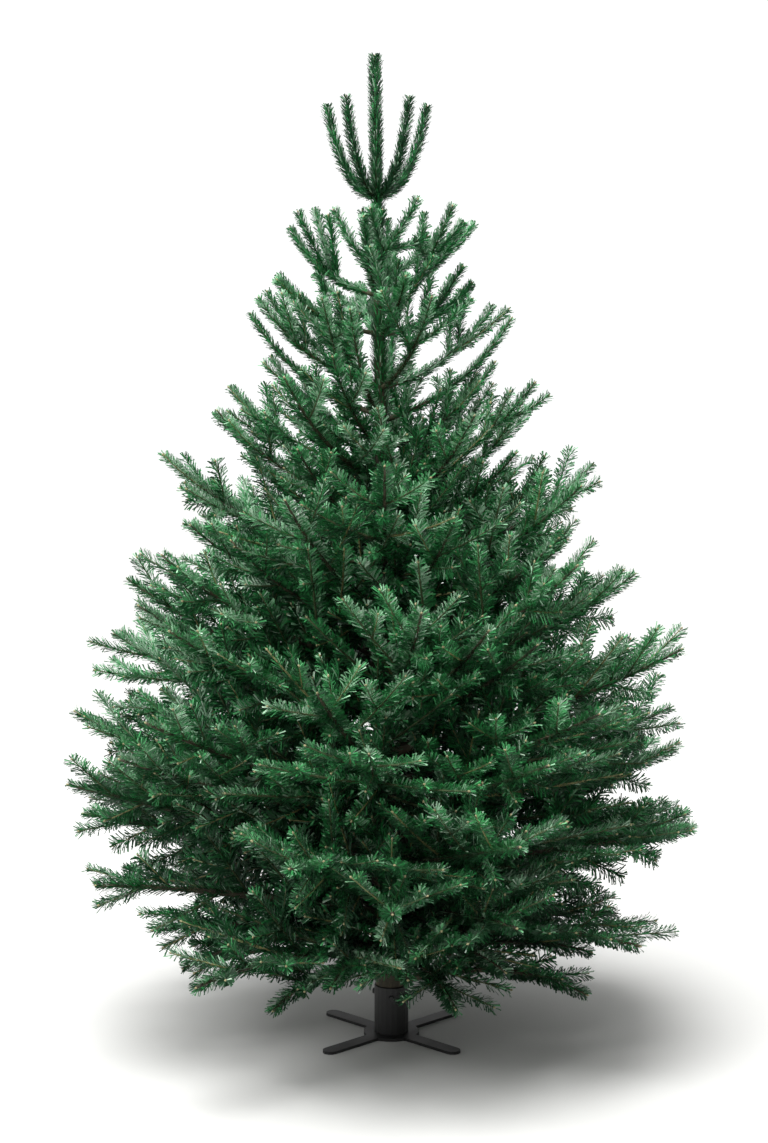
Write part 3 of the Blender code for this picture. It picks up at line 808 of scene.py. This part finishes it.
def colour_property(name, description, colour):
    return bpy.props.FloatVectorProperty(
        name=name, description=description, subtype="COLOR", size=4, min=0, max=1, default=linear(colour)
    )


class FirTreeShape(bpy.types.PropertyGroup):
    """Sizes of the needles, buds and bark"""

    needle_length: length_property("Needle length", "Length of a full-grown needle", 0.025)
    needle_width: length_property("Needle width", "Width of a needle near its tip", 0.0029)
    needles_per_cm: number_property("Needles per cm", "Needles on a centimetre of full shoot", 15.7, min=1)
    bud_length: length_property("Bud length", "Length of the bud at a shoot's tip", 0.007)
    bark_relief: length_property("Bark relief", "How far the trunk's bark stands up and sinks in", 0.0006)


class FirTreeColours(bpy.types.PropertyGroup):
    """Colours of the needles, twigs, buds, bark and stand"""

    # The needle tones hold painted light and shade as well as the needles' own greens: needles under a spray,
    # deep in the crown and low down take the darker tones.
    needle_deepest: colour_property("Deepest needles", "Needles under a spray and near the trunk", "#21462c")
    needle_dark: colour_property("Dark needles", "Older needles", "#1b4d2a")
    needle_green: colour_property("Green needles", "Needles along the sides of a spray", "#1d6031")
    needle_fresh: colour_property("Fresh needles", "Needles on the upper side of a spray", "#2a7b42")
    # Painted highlight as well as wax: needles that face up take the light and lightest tones.
    needle_light: colour_property("Light needles", "Waxed needles that face up", "#48985c")
    needle_lightest: colour_property("Lightest needles", "Waxed needles at a shoot's tip", "#86b790")
    under_dull: colour_property("Under faces, dull", "Needles with a faint chalky band", "#5c8a66")
    under_pale: colour_property("Under faces, pale", "Needles with a chalky band", "#84a68a")
    under_chalky: colour_property("Under faces, chalky", "Needles with two broad chalky bands", "#a6bfa8")
    twig_old: colour_property("Older twigs", "Bark of the older twigs", "#454f30")
    twig_young: colour_property("Young twigs", "Bark of this year's twigs", "#78744b")
    bud_scale: colour_property("Buds", "Dry scales of the resting buds", "#8d8663")
    bark_crack: colour_property("Bark, cracks", "The dark ground of the bark", "#211f17")
    bark_cork: colour_property("Bark, cork", "The grey cork of the bark", "#4d4734")
    bark_young: colour_property("Bark, young", "The olive skin of the trunk's top", "#3d4226")
    coat: colour_property("Stand", "The stand's powder coat", "#0e0f0f")
    coat_dust: colour_property("Stand, dust", "Where dust dulls the stand's coat", "#1b1b1a")


class FirTreeStudio(bpy.types.PropertyGroup):
    """The floor, the light and the lens of the stage"""

    floor: colour_property("Floor", "Matt paper on the studio's floor", "#c2c2c0")
    sky: colour_property("Surround", "The white surround", "#ffffff")
    sky_strength: number_property("Surround brightness", "How bright the surround looks", 1.08, min=0)
    sky_light: number_property("Surround light", "How much light the surround gives", 0.34, min=0)
    key_power: number_property("Key lamp", "Power of the soft lamp at the left", 165, "POWER", min=0)
    top_power: number_property("Top lamp", "Power of the soft lamp above", 40, "POWER", min=0)
    overhead_strength: number_property("Overhead light", "Strength of the light from overhead", 4.1, min=0)
    lens: number_property("Lens", "Focal length of the camera in millimetres", 62.05, "CAMERA", min=1)


def needle_materials(colours):
    """Leathery fir needles, by tone: wax gives the tops a soft gloss, and chalk dulls the under faces."""
    waxed = {"Roughness": 0.38, "IOR": 1.45, "Coat Weight": 0.15, "Coat Roughness": 0.3}
    chalky = {"Roughness": 0.7, "IOR": 1.45}
    made = []
    for kind, names, finish in (("needle", NEEDLE_TOPS, waxed), ("under", NEEDLE_UNDERS, chalky)):
        for name in names:
            inputs = {"Base Color": getattr(colours, f"{kind}_{name}"), **finish}
            made.append(new_material(f"fir needle, {kind} face, {name}", inputs)[0])
    return made


# Each joined piece of needles: its name, its whorls, and the masses of each whorl, all counted from 0
PIECES_OF_NEEDLES = (
    ("needles_whorls_1_to_4", (0, 1, 2, 3), (0, 1, 2, 3)),
    ("needles_whorl_5", (4,), (0, 1, 2, 3)),
    ("needles_whorl_6", (5,), (0, 1, 2, 3)),
    ("needles_whorl_7_front_left", (6,), (0, 1)),
    ("needles_whorl_7_back_right", (6,), (2, 3)),
    ("needles_whorl_8_front_left", (7,), (0, 1)),
    ("needles_whorl_8_back_right", (7,), (2, 3)),
    ("needles_whorl_9", (8,), (0, 1, 2, 3)),
)


def foliage_nodes(whorls, masses):
    """The solid masses that needles stand for. The leading shoot goes with the top whorl."""
    found = ["leading_shoot"] if 0 in whorls else []
    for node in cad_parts:
        if node.startswith("foliage_"):
            whorl, mass = (int(part) - 1 for part in node.split("_")[1:])
            if whorl in whorls and mass % BOUGHS_IN_WHORL in masses:
                found.append(node)
    return found


class FIRTREE_OT_needles(bpy.types.Operator):
    """Clothe every shoot in needles, and let them stand for the masses of foliage"""

    bl_idname = "firtree.needles"
    bl_label = "Needles"

    def execute(self, context):
        shape = context.scene.fir_tree_shape
        rng = np.random.default_rng(SEED)
        clothed = Crown(shape).clothed
        feet = needle_feet(clothed, rng)
        points, hand, painted_row_light = needle_outlines(clothed, feet, shape, rng)
        slots = needle_slots(clothed, feet, hand, painted_row_light, rng)
        inside = (points < np.array(CAD_HIGH)).all((1, 2)) & (points > np.array(CAD_LOW)).all((1, 2))
        inside &= (points[:, :, 2] > NEEDLE_FLOOR).all(1)
        tiers = np.minimum(dealt(clothed, feet.owner, "whorl").astype(int), WHORLS - 1)
        masses = dealt(clothed, feet.owner, "number").astype(int) % BOUGHS_IN_WHORL
        materials = needle_materials(context.scene.fir_tree_colours)
        for name, whorls, numbers in PIECES_OF_NEEDLES:
            chosen = inside & np.isin(tiers, whorls) & np.isin(masses, numbers)
            joined = repeated(NEEDLE_FACES, points[chosen])
            mesh = mesh_from_arrays(name, *joined, np.repeat(slots[chosen], len(NEEDLE_FACES)))
            piece = new_object(name, mesh, materials)
            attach(piece, "root")
            nodes = foliage_nodes(whorls, numbers)
            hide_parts(*nodes)
        return {"FINISHED"}


# Twigs and buds

# Twigs by order, the leader first: how many sides and rings each has
TWIG_TUBES = ((1, 6, 9), (2, 4, 6), (3, 3, 4))
TWIG_TAPER = 0.55
YOUNG_SKIN_ABOVE = 0.45
NEARLY_UPRIGHT = 0.9
# A bud's lean to the side and its size, for the middle bud and the two beside it
BUD_CLUSTER = ((0.0, 1.0), (0.8, 0.75), (-0.8, 0.75))
BUD_SIZES = (0.85, 1.15)
BUD_HALF_WIDTH = 0.36
BUD_BELLY = 0.45
BUD_SINK = 0.001
BUD_FACES = np.array(
    [(2, 1, 0), (3, 2, 0), (4, 3, 0), (1, 4, 0), (1, 2, 5), (2, 3, 5), (3, 4, 5), (4, 1, 5)]
)


def tubes(rows, radii, sides):
    """Closed tapering tubes as arrays: rows is tubes x rings x 3 points, radii is tubes x rings."""
    count, rings, _ = rows.shape
    heading = unit(np.gradient(rows, axis=1))
    leaning = np.abs(heading[..., 2:3]) < NEARLY_UPRIGHT
    one = unit(np.cross(heading, np.where(leaning, np.array([0, 0, 1.0]), np.array([1.0, 0, 0]))))
    two = np.cross(heading, one)
    angle = np.arange(sides) * math.tau / sides
    ring = one[:, :, None] * np.cos(angle)[:, None] + two[:, :, None] * np.sin(angle)[:, None]
    places = rows[:, :, None] + ring * radii[:, :, None, None]
    faces = []
    for r in range(rings - 1):
        for k in range(sides):
            a, b = r * sides + k, r * sides + (k + 1) % sides
            faces += [(a, b, b + sides), (a, b + sides, a + sides)]
    last = (rings - 1) * sides
    for k in range(1, sides - 1):
        faces += [(0, k + 1, k), (last, last + k, last + k + 1)]
    return *repeated(np.array(faces), places.reshape(count, rings * sides, 3)), len(faces)


class FIRTREE_OT_twigs(bpy.types.Operator):
    """Grow the twigs that carry the needles"""

    bl_idname = "firtree.twigs"
    bl_label = "Twigs"

    def execute(self, context):
        twigs = Crown(context.scene.fir_tree_shape).twigs
        places, triangles, slots = [], [], []
        offset = 0
        for order, sides, rings in TWIG_TUBES:
            chosen = [twig for twig in twigs if twig.order == order]
            knots = np.linspace(0, 1, rings)
            rows = np.array([[twig.point(knot) for knot in knots] for twig in chosen])
            radii = np.array([twig.radius for twig in chosen])[:, None] * (1 - TWIG_TAPER * knots)[None]
            points, faces, each = tubes(rows, radii, sides)
            places.append(points)
            triangles.append(faces + offset)
            young = [vary(i, 0.21) > YOUNG_SKIN_ABOVE for i in range(len(chosen))]
            slots.append(np.repeat(np.where(young, 1, 0), each))
            offset += len(points)
        colours = context.scene.fir_tree_colours
        # This year's bark is a smooth tan skin with a slight gloss, and older bark is dull olive cork.
        young = new_material("fir twig, young skin", {"Base Color": colours.twig_young, "Roughness": 0.55})[0]
        old = new_material("fir twig, older cork", {"Base Color": colours.twig_old, "Roughness": 0.75})[0]
        mesh = mesh_from_arrays(
            "twigs", np.concatenate(places), np.concatenate(triangles), np.concatenate(slots)
        )
        piece = new_object("twigs", mesh, [old, young])
        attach(piece, "root")
        return {"FINISHED"}


class FIRTREE_OT_buds(bpy.types.Operator):
    """Set a cluster of resting buds on every tip"""

    bl_idname = "firtree.buds"
    bl_label = "Buds"

    def execute(self, context):
        shape = context.scene.fir_tree_shape
        rng = np.random.default_rng(SEED + 1)
        tips = [stretch for stretch in Crown(shape).clothed if stretch.tip]
        ends = np.array([tip.line.point(tip.last) for tip in tips])
        heads = np.array([tip.line.heading(1) for tip in tips])
        flats = np.array([tip.line.side_at(1).cross(tip.line.heading(1)) for tip in tips])
        sides = np.cross(heads, flats)
        places = []
        for lean, size in BUD_CLUSTER:
            direction = unit(heads + sides * lean)
            one = unit(np.cross(direction, flats))
            two = np.cross(direction, one)
            long = size * shape.bud_length * rng.uniform(*BUD_SIZES, (len(tips), 1))
            wide = long * BUD_HALF_WIDTH
            foot = ends - direction * BUD_SINK
            belly = foot + direction * long * BUD_BELLY
            corners = [belly + one * wide, belly + two * wide, belly - one * wide, belly - two * wide]
            places.append(np.stack([foot, *corners, foot + direction * long], 1))
        points, triangles = repeated(BUD_FACES, np.concatenate(places))
        mesh = mesh_from_arrays("buds", points, triangles, np.zeros(len(triangles), int))
        # Dry papery scales: pale brown dots at the tips, with a little gloss where resin has run.
        scales = {"Base Color": context.scene.fir_tree_colours.bud_scale, "Roughness": 0.5}
        bud = new_material("fir bud, dry resinous scales", scales)[0]
        piece = new_object("buds", mesh, [bud])
        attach(piece, "root")
        return {"FINISHED"}


# Bark

# Real sizes: patches of cork, drawn out along the trunk, and blisters of resin
BARK_PATCH = 0.018
BARK_STRETCH = 0.35
BARK_BUMP = 0.001
BLISTER_SIZE = 0.007
BLISTER_BUMP = 0.0012
# Between these heights olive skin takes over from cork, up to this share
YOUNG_BARK = (1.1, 1.6)
YOUNG_BARK_SHARE = 0.75
# The mesh's relief: bumps for each metre, their shares, and the fine ones' stretch. Thin limbs have less.
COARSE_BUMPS = 90
FINE_BUMPS = 260
COARSE_SHARE = 0.6
FINE_SHARE = 0.4
FINE_STRETCH = 0.4
FULL_RELIEF_RADIUS = 0.01
MOST_RELIEF = 1.5
BOUGH_RELIEF = 0.0004
TRUNK_SIDES = 36
TRUNK_RINGS = 330
BOUGH_SIDES = 8
BOUGH_RING_PITCH = 0.022
FEWEST_RINGS = 6
COLLAR = 0.35
COLLAR_FADE = 18
THINNEST_LIMB = 0.0012


def bark_material(colours):
    """Young fir bark: thin cork in grey and brown patches, with resin blisters that catch the light."""
    material, tree, shader = new_material("fir bark, smooth young cork", {"IOR": 1.45})
    place = add_node(tree, "ShaderNodeTexCoord").outputs["Object"]
    stretched = add_node(
        tree, "ShaderNodeMapping", inputs={"Scale": (1, 1, BARK_STRETCH)}, links={"Vector": place}
    ).outputs[0]
    patches = noise_of(tree, stretched, BARK_PATCH, Detail=6.0, Roughness=0.6)
    cork = between(tree, patches, (0.32, 0.68), (colours.bark_crack, colours.bark_cork))
    height = add_node(tree, "ShaderNodeSeparateXYZ", links={"Vector": place}).outputs["Z"]
    low, high = YOUNG_BARK
    youth = map_range(tree, height, From_Min=low, From_Max=high, To_Max=YOUNG_BARK_SHARE)
    skin = add_node(
        tree, "ShaderNodeMix", {"data_type": "RGBA"}, {"B": colours.bark_young}, {"Factor": youth, "A": cork}
    )
    tree.links.new(skin.outputs["Result"], shader.inputs["Base Color"])
    gloss = map_range(tree, patches, To_Min=0.6, To_Max=0.85)
    tree.links.new(gloss, shader.inputs["Roughness"])
    blister = add_node(
        tree, "ShaderNodeTexVoronoi", inputs={"Scale": 1 / BLISTER_SIZE}, links={"Vector": place}
    ).outputs["Distance"]
    uneven = add_node(
        tree, "ShaderNodeBump", inputs={"Strength": 0.5, "Distance": BARK_BUMP}, links={"Height": patches}
    ).outputs[0]
    bump = add_node(
        tree,
        "ShaderNodeBump",
        {"invert": True},
        {"Strength": 0.35, "Distance": BLISTER_BUMP},
        {"Height": blister, "Normal": uneven},
    )
    tree.links.new(bump.outputs[0], shader.inputs["Normal"])
    return material


def limb_bmesh(line, radius_at, sides, rings, relief):
    """A limb along a line: a cone cut into rings, each moved onto the line, with the bark's relief."""
    bm = bmesh.new()
    bmesh.ops.create_cone(bm, cap_ends=True, segments=sides, radius1=1, radius2=1, depth=1)
    long = [edge for edge in bm.edges if abs(edge.verts[0].co.z - edge.verts[1].co.z) > 0.5]
    bmesh.ops.subdivide_edges(bm, edges=long, cuts=rings - 1, use_grid_fill=True)
    for vert in bm.verts:
        s = min(max(vert.co.z + 0.5, 0), 1)
        heading = line.heading(s)
        side = line.side_at(s)
        normal = side.cross(heading)
        out = (side * vert.co.x + normal * vert.co.y).normalized()
        centre = line.point(s)
        radius = radius_at(s)
        place = centre + out * radius
        streak = Vector((place.x, place.y, place.z * FINE_STRETCH))
        coarse = noise.noise(place * COARSE_BUMPS) * COARSE_SHARE
        rough = coarse + noise.noise(streak * FINE_BUMPS) * FINE_SHARE
        vert.co = centre + out * (radius + relief * rough * min(radius / FULL_RELIEF_RADIUS, MOST_RELIEF))
    bmesh.ops.triangulate(bm, faces=bm.faces)
    return bm


class FIRTREE_OT_trunk(bpy.types.Operator):
    """Dress the trunk in bark"""

    bl_idname = "firtree.trunk"
    bl_label = "Trunk"

    def execute(self, context):
        low = PLATE_THICKNESS + GAP
        line = upright(low, TRUNK_TOP)
        relief = context.scene.fir_tree_shape.bark_relief
        bm = limb_bmesh(
            line, lambda s: trunk_radius(low + line.length * s), TRUNK_SIDES, TRUNK_RINGS, relief
        )
        mesh = finished_mesh("trunk_bark", bm)
        mesh.shade_smooth()
        piece = new_object("trunk_bark", mesh, [bark_material(context.scene.fir_tree_colours)])
        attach(piece, "root")
        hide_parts("trunk")
        return {"FINISHED"}


class FIRTREE_OT_boughs(bpy.types.Operator):
    """Dress the boughs in bark, and carry them on to their tips"""

    bl_idname = "firtree.boughs"
    bl_label = "Boughs"

    def execute(self, context):
        joined = bmesh.new()
        for course in all_courses():
            rings = max(int(course.length / BOUGH_RING_PITCH), FEWEST_RINGS)
            part = finished_mesh(
                "bough", limb_bmesh(course, course.bark_radius, BOUGH_SIDES, rings, BOUGH_RELIEF)
            )
            joined.from_mesh(part)
            bpy.data.meshes.remove(part)
        mesh = finished_mesh("boughs_bark", joined)
        mesh.shade_smooth()
        piece = new_object("boughs_bark", mesh, [bark_material(context.scene.fir_tree_colours)])
        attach(piece, "root")
        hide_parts(*[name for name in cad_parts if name.startswith("bough_")])
        return {"FINISHED"}


# Stand

# Real sizes: the grain of the coat's orange peel, and patches of dust
COAT_GRAIN = 0.0012
COAT_BUMP = 0.0003
DUST_PATCH = 0.035


def coat_material(colours):
    """Steel with a baked black powder coat: it has a fine orange peel, and dust dulls it in patches."""
    material, tree, shader = new_material("steel, black powder coat", {"Metallic": 0.0, "IOR": 1.5})
    place = add_node(tree, "ShaderNodeTexCoord").outputs["Object"]
    dust = noise_of(tree, place, DUST_PATCH, Detail=5.0)
    colour = between(tree, dust, (0.4, 0.75), (colours.coat, colours.coat_dust))
    tree.links.new(colour, shader.inputs["Base Color"])
    gloss = map_range(tree, dust, To_Min=0.38, To_Max=0.62)
    tree.links.new(gloss, shader.inputs["Roughness"])
    peel = noise_of(tree, place, COAT_GRAIN, Detail=2.0)
    bump = add_node(
        tree, "ShaderNodeBump", inputs={"Strength": 0.3, "Distance": COAT_BUMP}, links={"Height": peel}
    )
    tree.links.new(bump.outputs[0], shader.inputs["Normal"])
    return material


class FIRTREE_OT_stand(bpy.types.Operator):
    """Give the stand its powder coat"""

    bl_idname = "firtree.stand"
    bl_label = "Stand"

    def execute(self, context):
        material = coat_material(context.scene.fir_tree_colours)
        for name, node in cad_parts.items():
            if name.startswith("stand_"):
                if not node.material_slots:
                    raise RuntimeError(f"{name} has no material slot")
                for held in node.material_slots:
                    held.link = "OBJECT"
                    held.material = material
        return {"FINISHED"}


# Stage

KEY_PLACE = Vector((-3.0, -3.2, 3.8))
TOP_PLACE = Vector((0.1, -0.2, 4.4))
LAMP_AIM = Vector((0, 0, 0.9))
LAMP_SIZE = 2.4
# The surround gives its light times 1 and this slope along the direction
LIGHT_SLOPE = Vector((-0.9, 0, 1.6))
OVERHEAD_SPREAD = math.radians(36)
OVERHEAD_TILT = math.radians(13)
OVERHEAD_SLANT = math.radians(7)
CAMERA_PLACE = Vector((-0.0153, -4.0, 1.30))
CAMERA_TILT = math.radians(4.82)
SENSOR_WIDTH = 36


def set_down(scene, name, data, place, turn):
    """Puts a lamp or a camera in the scene."""
    made = bpy.data.objects.new(name, data)
    scene.collection.objects.link(made)
    made.location = place
    made.rotation_euler = turn
    return made


def studio_world(studio):
    """A surround that is white to the eye and gives less light than that, most from above and the left."""
    world = bpy.data.worlds.new("studio")
    world.use_nodes = True
    tree = world.node_tree
    tree.nodes.clear()
    direction = add_node(tree, "ShaderNodeTexCoord").outputs["Generated"]
    slope = add_node(
        tree, "ShaderNodeVectorMath", {"operation": "DOT_PRODUCT"}, {1: LIGHT_SLOPE}, {0: direction}
    ).outputs["Value"]
    light = map_range(tree, slope, clamp=False, To_Min=studio.sky_light, To_Max=2 * studio.sky_light)
    seen = add_node(tree, "ShaderNodeLightPath").outputs["Is Camera Ray"]
    strength = add_node(
        tree, "ShaderNodeMapRange", {}, {"To Max": studio.sky_strength}, {"Value": seen, "To Min": light}
    ).outputs["Result"]
    surround = add_node(
        tree, "ShaderNodeBackground", inputs={"Color": studio.sky}, links={"Strength": strength}
    )
    add_node(tree, "ShaderNodeOutputWorld", links={"Surface": surround.outputs[0]})
    return world


class FIRTREE_OT_stage(bpy.types.Operator):
    """Lay the floor, hang the lamps and set the camera"""

    bl_idname = "firtree.stage"
    bl_label = "Stage"

    def execute(self, context):
        scene = context.scene
        studio = scene.fir_tree_studio
        bm = bmesh.new()
        bmesh.ops.create_circle(bm, cap_ends=True, segments=96, radius=30)
        mesh = finished_mesh("floor", bm)
        # Pressed paper is matt all over, so that nothing but the tree's soft shadow shows on it.
        paper = new_material("studio paper, matt", {"Base Color": studio.floor, "Roughness": 0.9})[0]
        new_object("floor", mesh, [paper])
        scene.world = studio_world(studio)
        lamps = (("key", KEY_PLACE, studio.key_power), ("top", TOP_PLACE, studio.top_power))
        for name, place, power in lamps:
            lamp = bpy.data.lights.new(name, "AREA")
            lamp.shape = "DISK"
            lamp.size = LAMP_SIZE
            lamp.energy = power
            aim = (LAMP_AIM - place).to_track_quat("-Z", "Y").to_euler()
            set_down(scene, name, lamp, place, aim)
        overhead = bpy.data.lights.new("overhead", "SUN")
        overhead.energy = studio.overhead_strength
        overhead.angle = OVERHEAD_SPREAD
        set_down(scene, "overhead", overhead, TOP_PLACE, (OVERHEAD_TILT, -OVERHEAD_SLANT, 0))
        camera = bpy.data.cameras.new("camera")
        camera.sensor_width = SENSOR_WIDTH
        camera.lens = studio.lens
        camera.clip_end = 100
        scene.camera = set_down(scene, "camera", camera, CAMERA_PLACE, (math.pi / 2 - CAMERA_TILT, 0, 0))
        scene.view_settings.view_transform = "Standard"
        return {"FINISHED"}


class FIRTREE_PT_panel(bpy.types.Panel):
    """The tree's sizes and colours, the studio's settings, and a button for each step"""

    bl_idname = "FIRTREE_PT_panel"
    bl_label = "Fir Tree"
    bl_space_type = "VIEW_3D"
    bl_region_type = "UI"
    bl_category = "Fir Tree"

    def draw(self, context):
        scene = context.scene
        for settings in (scene.fir_tree_shape, scene.fir_tree_colours, scene.fir_tree_studio):
            box = self.layout.box()
            for name in type(settings).__annotations__:
                box.prop(settings, name)
        for operator in OPERATORS:
            self.layout.operator(operator.bl_idname)


OPERATORS = (
    FIRTREE_OT_trunk,
    FIRTREE_OT_boughs,
    FIRTREE_OT_twigs,
    FIRTREE_OT_buds,
    FIRTREE_OT_needles,
    FIRTREE_OT_stand,
    FIRTREE_OT_stage,
)
CLASSES = (FirTreeShape, FirTreeColours, FirTreeStudio, *OPERATORS, FIRTREE_PT_panel)


def register():
    for made in CLASSES:
        bpy.utils.register_class(made)
    bpy.types.Scene.fir_tree_shape = bpy.props.PointerProperty(type=FirTreeShape)
    bpy.types.Scene.fir_tree_colours = bpy.props.PointerProperty(type=FirTreeColours)
    bpy.types.Scene.fir_tree_studio = bpy.props.PointerProperty(type=FirTreeStudio)


def unregister():
    del bpy.types.Scene.fir_tree_shape
    del bpy.types.Scene.fir_tree_colours
    del bpy.types.Scene.fir_tree_studio
    for made in reversed(CLASSES):
        bpy.utils.unregister_class(made)


def main():
    """Grows the tree piece by piece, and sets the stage."""
    register()
    bpy.ops.firtree.trunk()
    bpy.ops.firtree.boughs()
    bpy.ops.firtree.twigs()
    bpy.ops.firtree.buds()
    bpy.ops.firtree.needles()
    bpy.ops.firtree.stand()
    bpy.ops.firtree.stage()


if __name__ == "__main__":
    main()
